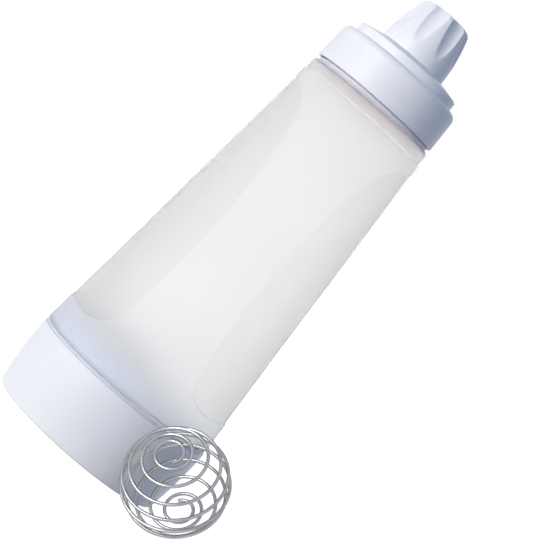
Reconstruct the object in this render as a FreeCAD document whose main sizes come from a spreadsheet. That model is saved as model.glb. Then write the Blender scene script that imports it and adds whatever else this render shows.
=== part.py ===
import FreeCAD, Part
import math
import os
import Sketcher

# Squeeze bottle for batter: screw base, bottle, seal, soft nozzle, collar, cap and a loose wire whisk ball.
# Millimetres, +Z up the bottle's axis, origin at the centre of the base's underside.

# Driving sizes: name, number, meaning
SIZES = [
    ("base_height", 36.0, "height of the screw base"),
    ("base_wall", 2.6, "wall of the base at its rim, and of its side"),
    ("base_flare", 3.0, "how much smaller the base is at its foot than at its rim"),
    ("base_floor", 3.2, "thickness of the base's floor over the foot"),
    ("base_foot_edge", 1.5, "rounding under the base's side"),
    ("base_rim_edge", 0.6, "width of the bevel round the base's rim"),
    ("base_corner", 3.0, "rounding between floor and wall inside the base"),
    ("foot_recess", 0.8, "depth of the ring recess under the base"),
    ("foot_rim_width", 3.0, "width of the flat rim that the base stands on"),
    ("foot_pad_radius", 20.0, "radius of the flat pad in the middle of the underside"),
    ("base_thread_room", 2.0, "radial room for the threads between skirt and base"),
    ("seal_thickness", 1.5, "thickness of the seal ring between base and bottle"),
    ("seal_inset", 0.4, "how far the seal ring stays inside the bottle's side"),
    ("soft_gap", 0.3, "running gap beside the soft pieces"),
    ("body_foot_radius", 49.5, "radius of the bottle where its cone meets the shoulder ledge"),
    ("body_height", 169.0, "height of the bottle's cone"),
    ("body_foot_round", 2.0, "rounding of the bottle's lower edge"),
    ("bottle_wall", 1.6, "wall of the bottle"),
    ("shoulder_ledge", 4.3, "width of the ledge between the bottle's side and its skirt"),
    ("skirt_length", 20.0, "length of the threaded skirt under the ledge"),
    ("skirt_wall", 1.8, "wall of the skirt"),
    ("skirt_relief", 1.5, "room under the skirt before the base's inner step"),
    ("band_step", 0.65, "inward step from the cone to the band at its top"),
    ("band_step_rise", 0.5, "height of that step"),
    ("band_height", 6.8, "height of the band above the step"),
    ("band_round", 2.0, "rounding of the band's upper edge"),
    ("neck_radius", 31.6, "outer radius of the neck without its thread"),
    ("neck_wall", 1.8, "wall of the neck"),
    ("neck_height", 16.5, "height of the neck above its foot ring"),
    ("neck_shoulder", 3.6, "width of the shoulder from the neck to the band's side"),
    ("neck_foot_flat", 0.1, "flat between the band's rounding and the ring at the neck's foot"),
    ("neck_foot_rise", 1.4, "height of the ring at the neck's foot"),
    ("grip_depth", 0.5, "depth of the two grip panels"),
    ("grip_half_gap", 17.7, "half of the plain strip between the panels, at its narrowest"),
    ("grip_waist_rise", 88.5, "height of the narrowest place over the ledge"),
    ("grip_sweep", 380.0, "radius of the panels' long edge"),
    ("grip_low_rise", 15.5, "height of the panels' lower edge over the ledge"),
    ("grip_top_drop", 2.5, "distance from the panels' upper edge to the cone's top"),
    ("grip_low_round", 15.0, "rounding of the panels' lower corner"),
    ("grip_top_round", 27.0, "rounding of the panels' upper corner"),
    ("collar_clearance", 0.4, "gap between the collar's foot and the ring under it"),
    ("collar_thread_room", 1.9, "radial room for the threads between neck and collar"),
    ("collar_wall", 1.6, "wall of the collar at its foot"),
    ("collar_draft", 1.0, "how much smaller the collar is at its shoulder than at its foot"),
    ("collar_roof", 2.0, "thickness of the collar's shoulder, step and top"),
    ("collar_round", 3.6, "rounding of the collar's shoulder"),
    ("collar_ledge", 4.7, "width of the ledge between the collar's side and its raised step"),
    ("collar_step_height", 4.5, "height of the raised step"),
    ("collar_step_edge", 0.9, "rounding of the step's upper edge"),
    ("dome_rise", 2.6, "rise of the collar's top from the step to the cap's seat"),
    ("dome_bulge", 0.35, "how far the middle of that rise bulges"),
    ("seat_radius", 19.0, "radius of the flat seat under the cap"),
    ("ring_height", 3.2, "height of the ring that the cap snaps over"),
    ("ring_wall", 1.1, "wall of that ring"),
    ("moat_width", 1.3, "width of the groove between that ring and the nozzle's stub"),
    ("stub_height", 5.1, "height of the stub that holds the nozzle"),
    ("stub_wall", 1.4, "wall of the stub"),
    ("ring_edge", 0.45, "width of the bevel on top of ring and stub"),
    ("flange_thickness", 1.8, "thickness of the nozzle's flange"),
    ("flange_inset", 0.2, "how far the flange stays inside the neck's outside"),
    ("hat_wall", 2.0, "wall of the nozzle's funnel between flange and spout"),
    ("spout_radius", 12.0, "outer radius of the nozzle's spout in the stub"),
    ("spout_tip_radius", 9.5, "outer radius of the spout at its tip"),
    ("spout_length", 18.5, "length of the spout above the stub"),
    ("spout_bore_foot", 9.0, "radius of the bore where the spout begins"),
    ("spout_bore_tip", 6.8, "radius of the bore at the tip"),
    ("spout_edge", 1.0, "rounding of the tip's outer edge"),
    ("cap_gap", 0.3, "radial gap between the cap and the ring it snaps over"),
    ("cap_wall", 1.8, "wall of the cap at its mouth"),
    ("cap_mouth_depth", 7.2, "depth of the straight part of the cap's mouth"),
    ("cap_mouth_step", 0.4, "inward step above the straight part"),
    ("cap_headroom", 1.4, "gap between the nozzle's tip and the cap's roof"),
    ("cap_roof", 1.6, "thickness of the cap's roof"),
    ("cap_tip_gap", 0.7, "radial gap between tip and cap at the roof"),
    ("cap_top_wall", 2.8, "wall of the cap at its top, outside the flutes"),
    ("cap_bulge", 1.07, "how far the cap's side bulges from its chord"),
    ("cap_top_round", 3.4, "rounding of the cap's upper edge"),
    ("plug_gap", 0.3, "radial gap between the cap's plug and the bore"),
    ("plug_wall", 1.4, "wall of the plug"),
    ("plug_reach", 4.0, "how far the plug reaches into the bore"),
    ("flute_radius", 7.0, "radius of the scoop of each flute"),
    ("flute_depth", 2.3, "depth of the flutes at the cap's top"),
    ("flute_foot_rise", 6.8, "height over the cap's mouth where the flutes run out"),
    ("flute_foot_inset", 0.65, "how far the scoop's floor lies inside the cap's mouth there"),
    ("flute_overrun", 3.0, "how far the scoop runs past both ends of the flute"),
    ("flute_count", 8, "number of flutes round the cap"),
    ("flute_turn", 29.0, "angle of the first flute from the front, in degrees"),
    ("ball_radius", 25.4, "outer radius of the whisk ball"),
    ("wire_radius", 0.8, "radius of the ball's wire"),
    ("wire_sides", 6, "number of flat sides of the wire's section"),
    ("ball_turns", 9.5, "turns of wire from pole to pole"),
    ("pole_angle", 12.5, "angle from the pole at which the wire begins, in degrees"),
    ("pole_pitch", 5.5, "angle that the first and last turn gain, in degrees"),
    ("ball_gap", 3.0, "gap between the ball and the base's rim, seen from above"),
    ("ball_bearing", 35.4, "direction of the ball from the axis, front to right, in degrees"),
    ("ball_pole_left", 31.0, "turn of the ball's pole from the front to the left, in degrees"),
    ("ball_pole_up", 26.5, "how far the pole is lifted from level, in degrees"),
    ("ball_end_turn", -58.2, "where round the pole the wire's end lies, in degrees"),
]

doc = FreeCAD.newDocument("batter_dispenser")
sheet = doc.addObject("Spreadsheet::Sheet", "sizes")
for row, (alias, number, meaning) in enumerate(SIZES, start=1):
    sheet.set("A%d" % row, meaning)
    sheet.set("B%d" % row, str(number))
    sheet.setAlias("B%d" % row, alias)
doc.recompute()


class Length:
    """A size that knows its number and its formula in the sheet's cells."""

    def __init__(self, number, formula):
        self.number = float(number)
        self.formula = formula

    def __add__(self, other):
        other = as_length(other)
        return Length(self.number + other.number, "(%s + %s)" % (self.formula, other.formula))

    def __sub__(self, other):
        other = as_length(other)
        return Length(self.number - other.number, "(%s - %s)" % (self.formula, other.formula))

    def __mul__(self, other):
        other = as_length(other)
        return Length(self.number * other.number, "(%s * %s)" % (self.formula, other.formula))

    def __truediv__(self, other):
        other = as_length(other)
        return Length(self.number / other.number, "(%s / %s)" % (self.formula, other.formula))


def as_length(value):
    """A bare number becomes a Length, and a Length stays as it is."""
    if isinstance(value, Length):
        return value
    return Length(value, repr(float(value)))


def size(alias):
    """The sheet's cell of that name, as a Length."""
    return Length(sheet.get(alias), "sizes.%s" % alias)


ZERO = as_length(0.0)

# Heights along the bottle's axis, from the floor up
rim_z = size("base_height")
ledge_z = rim_z + size("seal_thickness")
skirt_z = ledge_z - size("skirt_length")
cone_z = ledge_z + size("body_height")
step_z = cone_z + size("band_step_rise")
shoulder_z = step_z + size("band_height")
neck_foot_z = shoulder_z + size("neck_foot_rise")
neck_z = neck_foot_z + size("neck_height")
collar_z = neck_foot_z + size("collar_clearance")
flange_z = neck_z + size("flange_thickness")
collar_shoulder_z = flange_z + size("collar_roof")
collar_step_z = collar_shoulder_z + size("collar_step_height")
seat_z = collar_step_z + size("dome_rise")
ring_z = seat_z + size("ring_height")
stub_z = seat_z + size("stub_height")
tip_z = stub_z + size("spout_length")
roof_z = tip_z + size("cap_headroom")
top_z = roof_z + size("cap_roof")

# Radii that fit each other
skirt_radius = size("body_foot_radius") - size("shoulder_ledge")
base_bore = skirt_radius + size("base_thread_room")
base_rim_radius = base_bore + size("base_wall")
base_foot_radius = base_rim_radius - size("base_flare")
band_radius = size("neck_radius") + size("neck_shoulder")
cone_top_radius = band_radius + size("band_step")
neck_bore = size("neck_radius") - size("neck_wall")
collar_bore = size("neck_radius") + size("collar_thread_room")
collar_radius = collar_bore + size("collar_wall")
collar_shoulder_radius = collar_radius - size("collar_draft")
collar_step_radius = collar_shoulder_radius - size("collar_ledge")
stub_bore = size("spout_radius") + size("soft_gap")
stub_radius = stub_bore + size("stub_wall")
ring_bore = stub_radius + size("moat_width")
ring_radius = ring_bore + size("ring_wall")
cap_bore = ring_radius + size("cap_gap")
cap_radius = cap_bore + size("cap_wall")
cap_top_bore = size("spout_tip_radius") + size("cap_tip_gap")
cap_top_radius = cap_top_bore + size("cap_top_wall")


def new_body(name):
    """A body whose Label, and so whose file, is the piece's own name."""
    body = doc.addObject("PartDesign::Body", name)
    body.Label = name
    return body


def own_plane(body, role):
    """One of the body's own origin planes."""
    for plane in body.Origin.OriginFeatures:
        if plane.Role == role:
            return plane
    raise RuntimeError("no plane " + role)


def arc_between(start, end, radius):
    """Arc through two points; a positive radius puts its centre left of the way from start to end."""
    run = end - start
    left = FreeCAD.Vector(-run.y, run.x, 0.0).normalize()
    offset = math.sqrt(radius * radius - run.Length * run.Length / 4.0)
    centre = (start + end) * 0.5 + left * math.copysign(offset, radius)
    first, last = (start, end) if radius > 0 else (end, start)
    circle = Part.Circle(centre, FreeCAD.Vector(0, 0, 1), abs(radius))
    return Part.ArcOfCircle(circle, circle.parameter(first), circle.parameter(last))


def outline(body, name, corners, bends={}):
    """Closed sketch in the body's XZ plane through the corners, each held by its own two sizes.

    bends gives, for the corner that an arc leaves, the arc's radius and +1 or -1 for its side.
    """
    sketch = body.newObject("Sketcher::SketchObject", name)
    sketch.AttachmentSupport = (own_plane(body, "XZ_Plane"), [""])
    sketch.MapMode = "FlatFace"
    places = [FreeCAD.Vector(x.number, z.number, 0.0) for x, z in corners]
    count = len(corners)
    starts = []
    ends = []
    for index in range(count):
        start = places[index]
        end = places[(index + 1) % count]
        if index in bends:
            radius, side = bends[index]
            sketch.addGeometry(arc_between(start, end, radius.number * side), False)
            starts.append(1 if side > 0 else 2)
            ends.append(2 if side > 0 else 1)
            hold = sketch.addConstraint(Sketcher.Constraint("Radius", index, radius.number))
            sketch.setExpression("Constraints[%d]" % hold, radius.formula)
        else:
            sketch.addGeometry(Part.LineSegment(start, end), False)
            starts.append(1)
            ends.append(2)
    for index in range(count):
        before = (index - 1) % count
        sketch.addConstraint(Sketcher.Constraint("Coincident", before, ends[before], index, starts[index]))
        x, z = corners[index]
        for direction, axis, value in (("DistanceX", -2, x), ("DistanceY", -1, z)):
            if value is ZERO:
                sketch.addConstraint(Sketcher.Constraint("PointOnObject", index, starts[index], axis))
            else:
                rule = Sketcher.Constraint(direction, index, starts[index], value.number)
                hold = sketch.addConstraint(rule)
                sketch.setExpression("Constraints[%d]" % hold, value.formula)
    return sketch


def square_root(value):
    """The square root of a Length, in the sheet's own terms too."""
    return Length(math.sqrt(value.number), "sqrt(%s)" % value.formula)


def toward(start, end, distance):
    """The point at that distance from start on the way to end."""
    run_x = end[0] - start[0]
    run_z = end[1] - start[1]
    if end[1] is start[1]:
        return start[0] + distance * math.copysign(1.0, run_x.number), start[1]
    if end[0] is start[0]:
        return start[0], start[1] + distance * math.copysign(1.0, run_z.number)
    length = square_root(run_x * run_x + run_z * run_z)
    return start[0] + run_x * distance / length, start[1] + run_z * distance / length


def stepped(start, corner, end, steps):
    """Points from start to end on the arc whose end tangents meet in the corner."""
    way_in = math.atan2(corner[1].number - start[1].number, corner[0].number - start[0].number)
    way_out = math.atan2(end[1].number - corner[1].number, end[0].number - corner[0].number)
    weight = abs(math.cos((way_out - way_in) / 2.0))
    points = [start]
    for index in range(1, steps):
        share = index / steps
        near = (1.0 - share) ** 2
        far = share ** 2
        total = near + far + 2.0 * weight * share * (1.0 - share)
        points.append(tuple(
            c + (s - c) * round(near / total, 6) + (e - c) * round(far / total, 6)
            for s, c, e in zip(start, corner, end)
        ))
    points.append(end)
    return points


def softened(before, corner, after, radius, steps):
    """The corner's rounding in straight steps, which keep the faces few; one step is a bevel."""
    way_in = math.atan2(corner[1].number - before[1].number, corner[0].number - before[0].number)
    way_out = math.atan2(after[1].number - corner[1].number, after[0].number - corner[0].number)
    reach = radius * round(abs(math.tan((way_out - way_in) / 2.0)), 6)
    return stepped(toward(corner, before, reach), corner, toward(corner, after, reach), steps)


def turned(body, name, corners):
    """A full revolution of an outline about the bottle's axis."""
    sketch = outline(body, name + "_section", corners)
    feature = body.newObject("PartDesign::Revolution", name)
    feature.Profile = sketch
    feature.ReferenceAxis = (sketch, ["V_Axis"])
    feature.Angle = 360.0
    sketch.Visibility = False
    doc.recompute()
    return feature


def make_base_cap():
    """Screw base: a cup with a convex side, a stepped bore and a flat foot with a ring recess."""
    body = new_body("base_cap")
    edge = size("base_rim_edge")
    side_top_z = rim_z - edge
    flare = size("base_flare")
    sweep = (side_top_z * side_top_z + flare * flare) / (flare * 2)

    def side_at(height):
        drop = side_top_z - height
        return base_rim_radius - drop * drop / (sweep * 2)

    foot_edge = size("base_foot_edge")
    foot_rim = base_foot_radius - foot_edge
    foot_inner = foot_rim - size("foot_rim_width")
    floor_z = size("base_floor")
    inner_step_z = skirt_z - size("skirt_relief")
    inner_step = (side_at(inner_step_z) - size("base_wall"), inner_step_z)
    inner_foot = (side_at(floor_z) - size("base_wall"), floor_z)
    side_foot = (side_at(foot_edge), foot_edge)
    side_middle = (base_rim_radius, (foot_edge + side_top_z) / 2)
    side = stepped(side_foot, side_middle, (base_rim_radius, side_top_z), 4)
    foot = stepped((foot_rim, ZERO), (base_foot_radius, ZERO), side_foot, 2)
    corners = foot[:-1] + side + [
        (base_rim_radius - edge, rim_z),
        (base_bore, rim_z),
        (base_bore, inner_step_z),
        inner_step,
        *softened(inner_step, inner_foot, (ZERO, floor_z), size("base_corner"), 2),
        (ZERO, floor_z),
        (ZERO, ZERO),
        (size("foot_pad_radius"), ZERO),
        (size("foot_pad_radius") + size("foot_recess"), size("foot_recess")),
        (foot_inner - size("foot_recess"), size("foot_recess")),
        (foot_inner, ZERO),
    ]
    turned(body, "base_cup", corners)
    return body


def make_base_gasket():
    """Flat seal ring that lies between the base's rim and the bottle's ledge."""
    body = new_body("base_gasket")
    inner = skirt_radius + size("soft_gap")
    outer = size("body_foot_radius") - size("seal_inset")
    corners = [(inner, rim_z), (outer, rim_z), (outer, ledge_z), (inner, ledge_z)]
    turned(body, "seal_ring", corners)
    return body


def make_bottle():
    """Conical bottle with a wide threaded skirt below, a neck above and a shallow grip panel on each side."""
    blank = new_body("bottle_blank")
    wall = size("bottle_wall")
    skirt_bore = skirt_radius - size("skirt_wall")
    neck_foot_radius = band_radius - size("band_round") - size("neck_foot_flat")
    inner_ledge_z = ledge_z + wall
    ledge = (skirt_radius, ledge_z)
    foot = (size("body_foot_radius"), ledge_z)
    cone_top = (cone_top_radius, cone_z)
    inner_top = (band_radius - wall, step_z)
    inner_foot = (size("body_foot_radius") - wall, inner_ledge_z)
    inner_ledge = (skirt_bore, inner_ledge_z)
    band_top = (band_radius, shoulder_z)
    band_foot = (band_radius, step_z)
    neck_foot = (neck_foot_radius, shoulder_z)
    corners = [
        (skirt_radius, skirt_z),
        ledge,
        *softened(ledge, foot, cone_top, size("body_foot_round"), 3),
        cone_top,
        band_foot,
        *softened(band_foot, band_top, neck_foot, size("band_round"), 3),
        neck_foot,
        (neck_foot_radius, neck_foot_z),
        (size("neck_radius"), neck_foot_z),
        (size("neck_radius"), neck_z),
        (neck_bore, neck_z),
        (neck_bore, shoulder_z - wall),
        (band_radius - wall, shoulder_z - wall),
        inner_top,
        *softened(inner_top, inner_foot, inner_ledge, size("body_foot_round") - wall, 2),
        inner_ledge,
        (skirt_bore, skirt_z),
    ]
    turned(blank, "bottle_shell", corners)

    grips = make_grip_tools()
    bottle = doc.addObject("Part::Cut", "bottle")
    bottle.Label = "bottle"
    bottle.Base = blank
    bottle.Tool = grips
    return bottle


def make_grip_tools():
    """What the grip panels take away: a thin conical skin inside two prisms of the panels' outline."""
    skin = new_body("grip_skin")
    reach = size("body_foot_round") * 2
    fall = (size("body_foot_radius") - cone_top_radius) / size("body_height")
    low_z = ledge_z + reach
    low_radius = size("body_foot_radius") - fall * reach
    depth = size("grip_depth")
    skin_corners = [
        (low_radius - depth, low_z),
        (low_radius + reach, low_z),
        (cone_top_radius + reach, cone_z),
        (cone_top_radius - depth, cone_z),
    ]
    turned(skin, "grip_skin_ring", skin_corners)

    panel = new_body("grip_panel")
    outside = size("body_foot_radius") + size("grip_top_round")
    panel_low_z = ledge_z + size("grip_low_rise")
    panel_top_z = cone_z - size("grip_top_drop")
    waist_z = ledge_z + size("grip_waist_rise")
    below = waist_z - panel_low_z
    above = panel_top_z - waist_z
    low_x = size("grip_half_gap") + below * below / (size("grip_sweep") * 2)
    top_x = size("grip_half_gap") + above * above / (size("grip_sweep") * 2)
    panel_corners = [
        (low_x, panel_low_z),
        (outside, panel_low_z),
        (outside, panel_top_z),
        (top_x, panel_top_z),
    ]
    sketch = outline(panel, "grip_outline", panel_corners, {3: (size("grip_sweep"), -1)})
    prism = panel.newObject("PartDesign::Pad", "grip_prism")
    prism.Profile = sketch
    prism.Midplane = True
    prism.setExpression("Length", (outside * 2).formula)
    sketch.Visibility = False
    doc.recompute()
    low = upright_fillet(panel, prism, "grip_low_rounding", size("grip_low_round"), low_x, panel_low_z)
    upright_fillet(panel, low, "grip_top_rounding", size("grip_top_round"), top_x, panel_top_z)

    other = doc.addObject("Part::Mirroring", "grip_panel_left")
    other.Source = panel
    other.Normal = FreeCAD.Vector(1, 0, 0)
    pair = doc.addObject("Part::MultiFuse", "grip_panels")
    pair.Shapes = [panel, other]
    grips = doc.addObject("Part::Common", "grip_cut")
    grips.Base = skin
    grips.Tool = pair
    return grips


def upright_fillet(body, base, name, radius, x, z):
    """Fillet of the edge that runs front to back through one corner of the panel's outline."""
    names = []
    for number, edge in enumerate(base.Shape.Edges, start=1):
        if all(abs(v.X - x.number) < 1e-4 and abs(v.Z - z.number) < 1e-4 for v in edge.Vertexes):
            names.append("Edge%d" % number)
    if not names:
        raise RuntimeError("no panel edge for " + name)
    feature = body.newObject("PartDesign::Fillet", name)
    feature.Base = (base, names)
    feature.Radius = radius.number
    feature.setExpression("Radius", radius.formula)
    doc.recompute()
    return feature


def make_nozzle():
    """Soft nozzle: a flange clamped on the neck's lip, a low funnel and a tapered spout with an open bore."""
    body = new_body("nozzle")
    flange_radius = size("neck_radius") - size("flange_inset")
    funnel_foot = neck_bore - size("soft_gap")
    funnel_z = seat_z - size("hat_wall")
    spout_foot_z = funnel_z - size("soft_gap")
    spout_foot = (size("spout_radius"), stub_z)
    tip = (size("spout_tip_radius"), tip_z)
    bore_tip = (size("spout_bore_tip"), tip_z)
    bore_foot = (size("spout_bore_foot"), stub_z)
    corners = [
        (flange_radius, neck_z),
        (flange_radius, flange_z),
        (collar_step_radius - size("collar_roof") - size("soft_gap"), flange_z),
        (size("spout_radius"), spout_foot_z),
        spout_foot,
        *softened(spout_foot, tip, bore_tip, size("spout_edge"), 2),
        *softened(tip, bore_tip, bore_foot, size("spout_edge") / 2, 1),
        bore_foot,
        (size("spout_bore_foot"), spout_foot_z - size("hat_wall") / 2),
        (funnel_foot - size("hat_wall"), neck_z),
    ]
    turned(body, "nozzle_hat", corners)
    return body


def make_collar():
    """Screw collar: a skirt with a rounded shoulder, a raised step, a domed top, a snap ring and the stub."""
    body = new_body("collar")
    step_bore = collar_step_radius - size("collar_roof")
    under_step_z = collar_step_z - size("collar_roof")
    under_seat_z = seat_z - size("collar_roof")
    edge = size("ring_edge")
    foot = (collar_radius, collar_z)
    shoulder = (collar_shoulder_radius, collar_shoulder_z)
    step_foot = (collar_step_radius, collar_shoulder_z)
    step_top = (collar_step_radius, collar_step_z)
    dome_x = (collar_step_radius + size("seat_radius")) / 2
    dome = (dome_x, (collar_step_z + seat_z) / 2 + size("dome_bulge"))
    ring_top = (ring_radius, ring_z)
    ring_inner_top = (ring_bore, ring_z)
    stub_top = (stub_radius, stub_z)
    stub_inner_top = (stub_bore, stub_z)
    corners = [
        foot,
        *softened(foot, shoulder, step_foot, size("collar_round"), 3),
        step_foot,
        *softened(step_foot, step_top, dome, size("collar_step_edge"), 2),
        dome,
        (size("seat_radius"), seat_z),
        (ring_radius, seat_z),
        *softened((ring_radius, seat_z), ring_top, ring_inner_top, edge, 1),
        ring_inner_top,
        (ring_bore, seat_z),
        (stub_radius, seat_z),
        *softened((stub_radius, seat_z), stub_top, stub_inner_top, edge, 1),
        stub_inner_top,
        (stub_bore, under_seat_z),
        (size("seat_radius"), under_seat_z),
        (step_bore, under_step_z),
        (step_bore, flange_z),
        (collar_bore, flange_z),
        (collar_bore, collar_z),
    ]
    turned(body, "collar_shell", corners)
    return body


def make_nozzle_cap():
    """Snap-on cap over the nozzle: a curved taper with scooped flutes, and a plug inside its roof."""
    body = new_body("nozzle_cap")
    plug_radius = size("spout_bore_tip") - size("plug_gap")
    plug_z = tip_z - size("plug_reach")
    mouth_z = seat_z + size("cap_mouth_depth")
    mouth = (cap_radius, seat_z)
    top = (cap_top_radius, top_z)
    bulge_x = (cap_radius + cap_top_radius) / 2 + size("cap_bulge") * 2
    side = stepped(mouth, (bulge_x, (seat_z + top_z) / 2), top, 4)[:-1]
    corners = side + [
        *softened(side[-1], top, (ZERO, top_z), size("cap_top_round"), 3),
        (ZERO, top_z),
        (ZERO, roof_z),
        (plug_radius - size("plug_wall"), roof_z),
        (plug_radius - size("plug_wall"), plug_z),
        (plug_radius, plug_z),
        (plug_radius, roof_z),
        (cap_top_bore, roof_z),
        (cap_bore - size("cap_mouth_step"), mouth_z),
        (cap_bore, mouth_z),
        (cap_bore, seat_z),
    ]
    shell = turned(body, "cap_shell", corners)

    foot_x = cap_radius - size("flute_foot_inset")
    foot_z = seat_z + size("flute_foot_rise")
    head_x = cap_top_radius - size("flute_depth")
    slope = (head_x - foot_x) / (top_z - foot_z)
    low = (foot_x - slope * size("flute_overrun"), foot_z - size("flute_overrun"))
    high = (head_x + slope * size("flute_overrun"), top_z + size("flute_overrun"))
    span_x = high[0] - low[0]
    span_z = high[1] - low[1]
    span = square_root(span_x * span_x + span_z * span_z)
    out_x = size("flute_radius") * span_z / span
    out_z = ZERO - size("flute_radius") * span_x / span
    far_high = (high[0] + out_x, high[1] + out_z)
    far_low = (low[0] + out_x, low[1] + out_z)
    sketch = outline(body, "flute_section", [far_low, far_high, high, low])
    flute = body.newObject("PartDesign::Groove", "flute")
    flute.Profile = sketch
    flute.ReferenceAxis = (sketch, ["Edge1"])
    flute.Angle = 360.0
    sketch.Visibility = False
    doc.recompute()
    if flute.Shape.Volume > shell.Shape.Volume - 1.0:
        raise RuntimeError("the flute cuts nothing")

    ring = body.newObject("PartDesign::PolarPattern", "flutes")
    ring.Originals = [flute]
    ring.Axis = (sketch, ["V_Axis"])
    ring.Angle = 360.0
    ring.setExpression("Occurrences", size("flute_count").formula)
    body.Tip = ring
    body.Placement.Rotation = FreeCAD.Rotation(FreeCAD.Vector(0, 0, 1), 0.0)
    body.setExpression("Placement.Rotation.Angle", (size("flute_turn") - 90).formula)
    doc.recompute()
    return body


def ball_polar_angle(turn):
    """Angle from the pole, in degrees, after so many turns of wire; the two halves are alike.

    The first turn gains the pole pitch, then the pitch changes over to an even one within a turn.
    """
    half = size("ball_turns").number / 2.0
    if turn > half:
        return 180.0 - ball_polar_angle(2.0 * half - turn)
    start = size("pole_angle").number
    slow = size("pole_pitch").number
    extra = (90.0 - start - slow * half) / (half - 1.0)
    ease = 0.8
    late = turn - 1.0
    if late <= -ease / 2.0:
        run = 0.0
    elif late < ease / 2.0:
        run = (late + ease / 2.0) ** 2 / (2.0 * ease)
    else:
        run = late
    return start + slow * turn + extra * run


def ball_point(turn, radius):
    """Point of the wire's centre line on the ball, which stands at the origin with its poles on Z."""
    polar = math.radians(ball_polar_angle(turn))
    around = 2.0 * math.pi * turn
    flat = radius * math.sin(polar)
    return FreeCAD.Vector(flat * math.cos(around), flat * math.sin(around), radius * math.cos(polar))


def ball_direction(turn, radius):
    """Unit tangent of the wire's centre line."""
    small = 1e-4
    return (ball_point(turn + small, radius) - ball_point(turn - small, radius)).normalize()


def tangent_arc(start, corner, end):
    """Arc from start to end whose end tangents meet in the corner, equally far from both."""
    middle = (start + end) * 0.5
    half = (start - middle).Length
    height = (corner - middle).Length
    radius = math.hypot(half, height) * half / height
    sagitta = radius - math.sqrt(radius * radius - half * half)
    crown = middle + (corner - middle).normalize() * sagitta
    return Part.Arc(start, crown, end).toShape(), radius


def biarc(start, start_way, end, end_way):
    """Two arcs that join tangentially, from start to end with the given directions."""
    run = end - start
    ways = start_way + end_way
    a = ways.dot(ways) - 4.0
    b = -2.0 * run.dot(ways)
    c = run.dot(run)
    reach = (-b - math.sqrt(b * b - 4.0 * a * c)) / (2.0 * a)
    first = start + start_way * reach
    second = end - end_way * reach
    joint = (first + second) * 0.5
    return [tangent_arc(start, first, joint), tangent_arc(joint, second, end)]


def make_whisk_ball():
    """Loose whisk ball: one wire wound round a sphere from pole to pole."""
    wire_radius = size("wire_radius").number
    radius = size("ball_radius").number - wire_radius
    turns = size("ball_turns").number
    spans = int(math.ceil(turns * 4.0))
    stops = [turns * index / spans for index in range(spans + 1)]
    edges = []
    tightest = radius
    for begin, finish in zip(stops, stops[1:]):
        arcs = biarc(
            ball_point(begin, radius), ball_direction(begin, radius),
            ball_point(finish, radius), ball_direction(finish, radius),
        )
        for edge, bend in arcs:
            edges.append(edge)
            tightest = min(tightest, bend)
    path = Part.Wire(edges)
    sides = int(size("wire_sides").number)
    way = ball_direction(0.0, radius)
    across = ball_point(0.0, radius).normalize()
    other = way.cross(across)
    corner_radius = wire_radius / math.cos(math.pi / sides)
    ring = []
    for index in range(sides + 1):
        angle = 2.0 * math.pi * (index % sides + 0.5) / sides
        spoke = across * math.cos(angle) + other * math.sin(angle)
        ring.append(ball_point(0.0, radius) + spoke * corner_radius)
    section = Part.makePolygon(ring)
    tube = path.makePipeShell([section], True, False)

    left = math.radians(size("ball_pole_left").number)
    up = math.radians(size("ball_pole_up").number)
    pole = FreeCAD.Vector(-math.sin(left) * math.cos(up), -math.cos(left) * math.cos(up), math.sin(up))
    upright = FreeCAD.Vector(0, 0, 1)
    facing = FreeCAD.Rotation(upright, pole)
    turn = facing.multiply(FreeCAD.Rotation(upright, size("ball_end_turn").number))
    samples = [turn.multVec(ball_point(turns * k / 2000.0, radius)).z for k in range(2001)]
    height = corner_radius - min(samples)
    ball = doc.addObject("Part::Feature", "whisk_ball")
    ball.Label = "whisk_ball"
    ball.Shape = tube
    distance = (base_rim_radius + size("ball_gap") + size("ball_radius")).number
    bearing = math.radians(size("ball_bearing").number)
    place = FreeCAD.Vector(distance * math.sin(bearing), -distance * math.cos(bearing), height)
    ball.Placement = FreeCAD.Placement(place, turn)
    report_wire(path, radius, turns, tightest, tube, sides)
    return ball


def report_wire(path, radius, turns, tightest, tube, sides):
    """Print the wire's least gap to itself, measured on points, and what its form measures."""
    wire_radius = size("wire_radius").number
    per_turn = 60
    count = int(turns * per_turn)
    points = [ball_point(turns * k / count, radius) for k in range(count + 1)]
    least = 2.0 * radius
    for first in range(len(points)):
        for second in range(first + per_turn // 2, len(points)):
            least = min(least, (points[first] - points[second]).Length)
    expected = path.Length * sides * wire_radius ** 2 * math.tan(math.pi / sides)
    print("whisk ball: wire %.0f mm long, tightest bend %.2f mm" % (path.Length, tightest))
    print("whisk ball: least gap between turns %.2f mm" % (least - 2.0 * wire_radius))
    print("whisk ball: volume %.1f, section times length %.1f" % (tube.Volume, expected))


pieces = [
    make_base_cap(),
    make_base_gasket(),
    make_bottle(),
    make_nozzle(),
    make_collar(),
    make_nozzle_cap(),
    make_whisk_ball(),
]
doc.recompute()

for item in doc.Objects:
    if "Invalid" in item.State or "Error" in item.State:
        raise RuntimeError("%s failed: %s" % (item.Label, item.State))
for piece in pieces:
    if piece.Shape.isNull() or not piece.Shape.isValid():
        raise RuntimeError("%s has no valid shape" % piece.Label)

os.makedirs("parts", exist_ok=True)
for piece in pieces:
    piece.Shape.exportStep("parts/%s.step" % piece.Label)
    bounds = piece.Shape.BoundBox
    print("%-12s %d solid, volume %.1f, z %.2f to %.2f" % (
        piece.Label, len(piece.Shape.Solids), piece.Shape.Volume, bounds.ZMin, bounds.ZMax))
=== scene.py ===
import math

import bmesh
import bpy
from mathutils import Matrix, Vector


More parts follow.
